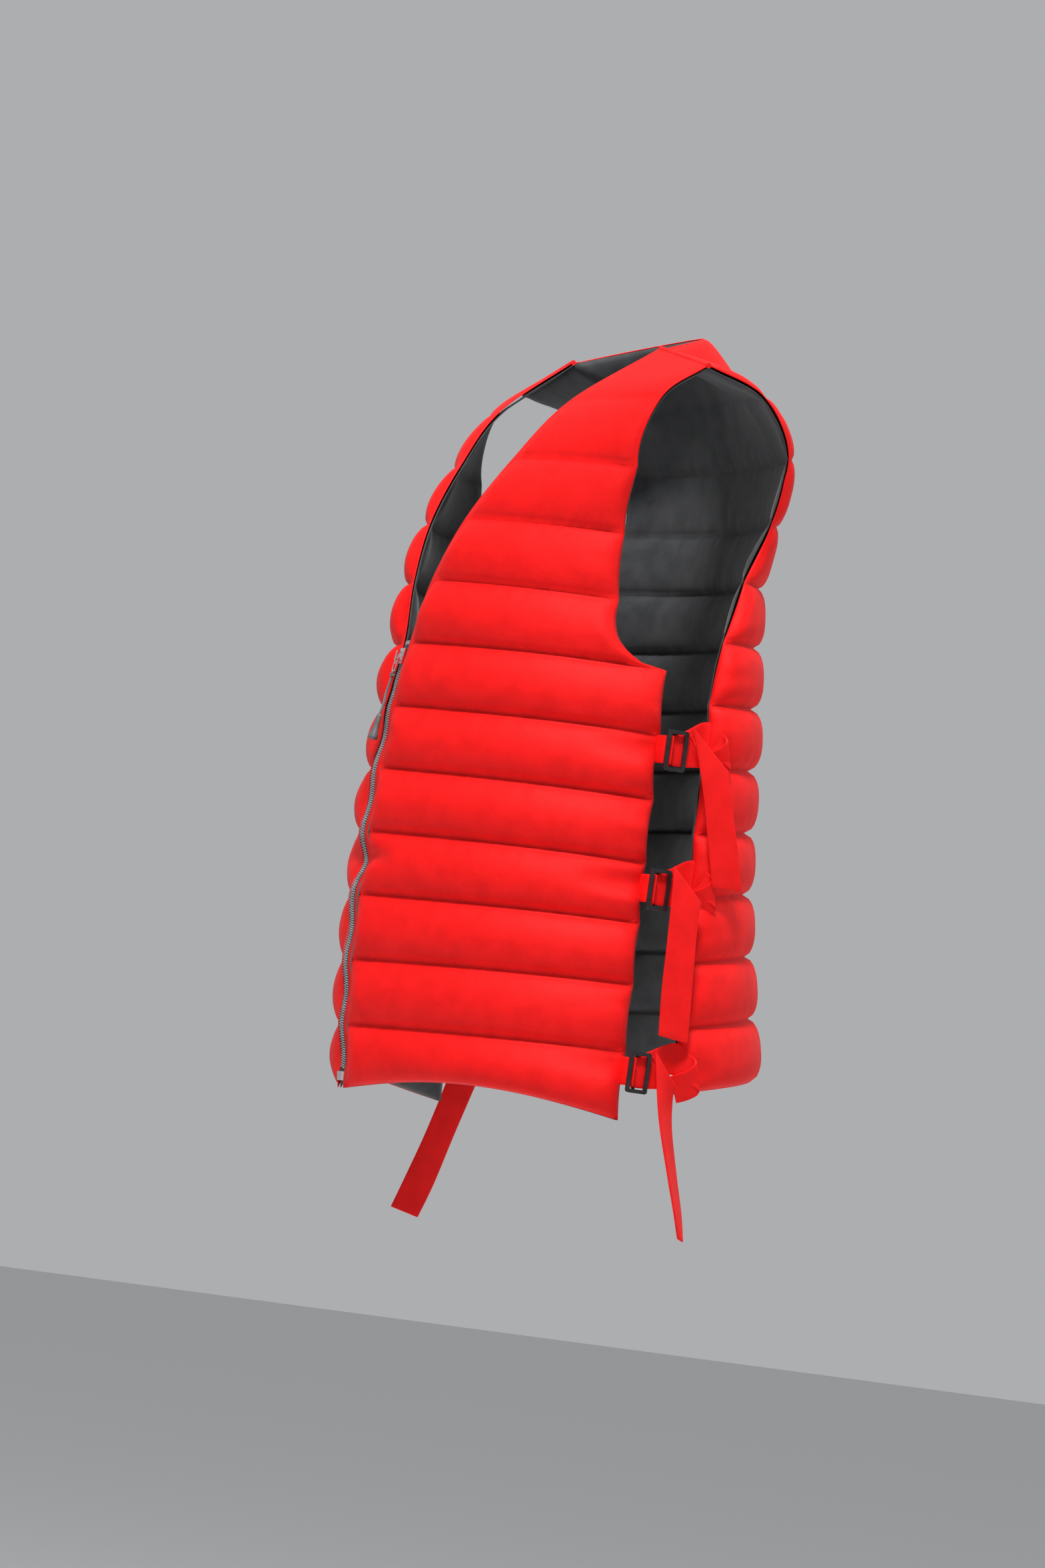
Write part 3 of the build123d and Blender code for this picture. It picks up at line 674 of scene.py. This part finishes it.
def tail_rows(level, side):
    """Rows of a hanging strap: (x offset, y, z) of its forward and rear edges."""
    if level == "upper":
        return [((3, 28, -302), (2, 64, -332)), ((4, 36, -326), (3, 65, -340)),
                ((4, 45, -355), (4, 70, -358)), ((3, 54, -388), (4, 79, -388)), ((1, 64, -424), (2, 89, -423))]
    if level == "middle":
        return [((2, 26, -412), (2, 53, -437)), ((3, 27, -434), (3, 52, -446)),
                ((4, 28, -470), (3, 53, -472)), ((2, 30, -510), (4, 55, -511)), ((1, 33, -545), (2, 58, -548))]
    if side > 0:
        return [((1, 30, -558), (-1, 52, -582)), ((4, 33, -580), (-4, 52, -592)),
                ((7, 39, -612), (-7, 56, -616)), ((8, 51, -650), (-8, 66, -652)),
                ((7, 61, -678), (-7, 74, -681)), ((2, 70, -700), (-1, 76, -702))]
    return [((1, 28, -562), (1, 54, -577)), ((2, 25, -590), (2, 51, -592)), ((3, 12, -640), (3, 37, -641)),
            ((3, -1, -680), (3, 25, -684)), ((1, -11, -707), (1, 14, -713))]


def build_tails():
    """Free ends that hang from the folds."""
    for level in LEVELS:
        face_x = TAIL_X[level] + TAIL_CLEARANCE
        for name, side in (("left", 1), ("right", -1)):
            stops = [
                tuple(Vector((side * (face_x + dx), y, z)) for dx, y, z in row) for row in tail_rows(level, side)
            ]
            obj = ribbon(f"{level}_hanging_strap_{name}", stops, STRAP_THICK, 5)
            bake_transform(obj)
            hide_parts(f"{level}_strap_tail_{name}")


def build_anchor_loops():
    """Webbing from the front panel's edge round the back of each buckle's front bar."""
    bends = ((-14.5, -6.0), (-11.0, -3.8), (-6.0, -2.2), (-3.0, -0.3), (-1.6, 2.2), (0.4, 3.0), (2.2, 3.2))
    for level in LEVELS:
        bar_x, bar_y, z = STRAP_X[level] + 3.8, BUCKLE_Y - 7.5, STRAP_Z[level]
        for name, side in (("left", 1), ("right", -1)):
            stops = [edges(side, bar_x + dx, bar_y + dy, z, 22) for dx, dy in bends]
            obj = ribbon(f"{level}_bar_loop_{name}", stops, 1.0, 3)
            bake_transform(obj)
            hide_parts(f"{level}_anchor_loop_{name}")


# -------------------------------------------------------------------- zip pull
def build_pull_cord(top, down, length):
    """Braided cord from the knot to the toggle, with a slight sway."""
    curve = bpy.data.curves.new("pull_cord", "CURVE")
    curve.dimensions = "3D"
    spline = curve.splines.new("NURBS")
    shares = (0, 0.16, 0.34, 0.52, 0.7, 0.86, 1.0)
    sways = (0, 0.0, -0.9, -0.7, 0.7, 0.5, 0.0)
    spline.points.add(len(shares) - 1)
    for spot, share, sway in zip(spline.points, shares, sways):
        spot.co = (*(top + down * (length * share) + Vector((sway * MM, 0, 0))), 1)
    spline.order_u = 3
    spline.use_endpoint_u = True
    curve.bevel_depth = PULL_CORD_DIAMETER / 2
    curve.bevel_resolution = 3
    curve.use_fill_caps = True
    obj = bpy.data.objects.new("pull_cord", curve)
    bpy.context.collection.objects.link(obj)
    curve.materials.append(MATERIALS["cord"])
    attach(obj, "zip_pull")
    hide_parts("zip_pull_cord")
    return obj


def build_knot(middle, down, outward):
    """Overhand knot: a trefoil tube about its middle, in mm."""
    points = []
    for i in range(60):
        turn = 2 * pi * i / 60
        spot = Vector((sin(turn) + 2 * sin(2 * turn), cos(turn) - 2 * cos(2 * turn), -sin(3 * turn)))
        spot = Vector((1, 0, 0)) * spot.x * 0.6 + down * spot.y * 0.65 + outward * spot.z * 0.9
        points.append(middle / MM + spot)
    obj = tube("cord_knot", points, 0.85, "cord", closed=True, sides=8)
    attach(obj, "zip_pull")
    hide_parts("zip_pull_knot")
    return obj


def build_toggle(start, down, outward):
    """Moulded toggle: rings of (radius, distance down), in mm, a little flattened."""
    profile = [(0.8, -0.3), (1.8, 0), (2.3, 0.6), (2.5, 2), (2.6, 5), (2.8, 9), (3.2, 12), (3.9, 15), (4.7, 18),
               (4.9, 19.2), (4.7, 20.2), (3.8, 20.9), (0.01, 21)]
    sides, points = 24, []
    for radius, drop in profile:
        for k in range(sides):
            turn = 2 * pi * k / sides
            spread = Vector((1, 0, 0)) * cos(turn) * radius + outward * sin(turn) * radius * 0.8
            points.append(start + down * drop + spread)
    faces = []
    for r in range(len(profile) - 1):
        for k in range(sides):
            a, b = r * sides + k, r * sides + (k + 1) % sides
            faces.append((a, b, b + sides, a + sides))
    faces.append(tuple(range(sides))[::-1])
    last = (len(profile) - 1) * sides
    faces.append(tuple(range(last, last + sides)))
    obj = new_mesh("moulded_toggle", points, faces)
    obj.data.materials.append(MATERIALS["toggle"])
    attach(obj, "zip_pull")
    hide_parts("zip_pull_toggle")
    return obj


def build_pull():
    """Cord, knot and toggle, hung along the CAD cord."""
    knot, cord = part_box("zip_pull_knot"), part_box("zip_pull_cord")
    low = Vector((0, cord[0][1] + PULL_CORD_DIAMETER / 2, cord[0][2]))
    top = Vector((0, cord[1][1] - PULL_CORD_DIAMETER / 2, cord[1][2]))
    down, length = (low - top).normalized(), (low - top).length
    outward = Vector((0, down.z, -down.y))
    outward = -outward if outward.y > 0 else outward
    cord_obj = build_pull_cord(top, down, length)
    knot_obj = build_knot((Vector(knot[0]) + Vector(knot[1])) / 2, down, outward)
    toggle_obj = build_toggle((low + down * 0.0001) / MM, down, outward)


# ----------------------------------------------------------------------- stage
def build_stage():
    """Pale floor, plain world and soft lights."""
    material, tree, shader = new_material("pale_floor", (0.68, 0.69, 0.7), 0.95)
    add_bump(tree, shader, add_noise(tree, 30, 2).outputs["Fac"], 0.02, 0.001)
    floor_z, half = -1420, 30000
    corners = [
        Vector((x * half, y * half, floor_z)) for x, y in ((-1, -1), (1, -1), (1, 1), (-1, 1))
    ]
    ground = new_mesh("floor", corners, [(0, 1, 2, 3)])
    ground.data.materials.append(material)
    world = bpy.data.worlds.new("studio")
    bpy.context.scene.world = world
    world.use_nodes = True
    world.node_tree.nodes["Background"].inputs["Color"].default_value = (0.93, 0.94, 0.96, 1)
    world.node_tree.nodes["Background"].inputs["Strength"].default_value = 0.45
    bpy.context.scene.view_settings.view_transform = "Standard"
    lights = (
        ("key", (2.1, -1.5, 3.2), 0.9, 190), ("top", (0.4, 0.2, 2.6), 1.0, 40),
        ("rim", (0.6, 2.8, 1.0), 1.0, 12),
    )
    target = Vector((0, 0, -0.35))
    for name, place, size, power in lights:
        light = bpy.data.lights.new(name, "AREA")
        light.size, light.energy = size, power
        obj = bpy.data.objects.new(name, light)
        obj.location = place
        obj.rotation_euler = (Vector(place) - target).to_track_quat("Z", "Y").to_euler()
        bpy.context.collection.objects.link(obj)


def build_camera():
    """Long lens from the wearer's left front, a little below level and rolled."""
    azimuth, elevation, roll = radians(68), radians(-3.5), radians(8)
    right = Vector((cos(azimuth), sin(azimuth), 0))
    back = Vector((sin(azimuth) * cos(elevation), -cos(azimuth) * cos(elevation), sin(elevation)))
    up = back.cross(right)
    rolled_right = right * cos(roll) + up * sin(roll)
    rolled_up = up * cos(roll) - right * sin(roll)
    distance, aim = 5.5, -0.0762 * rolled_right - 0.3465 * rolled_up
    camera = bpy.data.cameras.new("camera")
    camera.sensor_width, camera.sensor_height, camera.sensor_fit = 24, 36, "VERTICAL"
    camera.lens = 155.7
    obj = bpy.data.objects.new("camera", camera)
    place = aim + back * distance
    basis = Matrix((rolled_right, rolled_up, back)).transposed().to_4x4()
    obj.matrix_world = Matrix.Translation(place) @ basis
    bpy.context.collection.objects.link(obj)
    bpy.context.scene.camera = obj


def build_panels():
    """Shells and linings of the three panels; each shell also stands for its hidden bladder."""
    for name, side, seed in (("left", 1, 1.0), ("right", -1, 12.0)):
        nodes = [f"front_{name}_shell", f"front_{name}_air_bladder"]
        build_panel(f"front_{name}_quilted_shell", "front", "shell", nodes, side, seed)
        nodes = [f"front_{name}_lining"]
        build_panel(f"front_{name}_quilted_lining", "front", "lining", nodes, side, seed + 5)
    build_panel("back_quilted_shell", "back", "shell", ["back_shell", "back_air_bladder"], 1, 23.0)
    build_panel("back_quilted_lining", "back", "lining", ["back_lining"], 1, 28.0)


def build_shoulder_piping():
    """Piping sewn over each shoulder seam, where front and back shells meet."""
    neck, tip = Vector(FRONT_INNER[-1][1:]), Vector(FRONT_SIDE[-1][1:])
    for name, side in (("left", 1), ("right", -1)):
        line = [neck.lerp(tip, i / 20) + Vector((0, 0, PIPING_LIFT)) for i in range(21)]
        line = [Vector((side * p.x, p.y, p.z)) for p in line]
        piping = tube(f"shoulder_piping_{name}", line, PIPING_RADIUS, "shell", sides=8)
        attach(piping, "vest")


build_stage()
build_camera()
build_panels()
build_shoulder_piping()
build_stitching()
build_tapes()
build_coils()
build_side_straps()
build_tails()
build_anchor_loops()
build_pull()
for cad_node, cad_material in (
    ("zip_top_stops", "chrome"), ("zip_bottom_box", "coil"), ("zip_slider_body", "chrome"),
    ("zip_pull_loop", "chrome"), ("valve_body", "black"), ("valve_stem", "mouthpiece"),
    ("valve_cap", "black"),
):
    dress_node(cad_node, cad_material)
for cad_level in LEVELS:
    for cad_side in ("left", "right"):
        dress_node(f"{cad_level}_buckle_{cad_side}", "black")
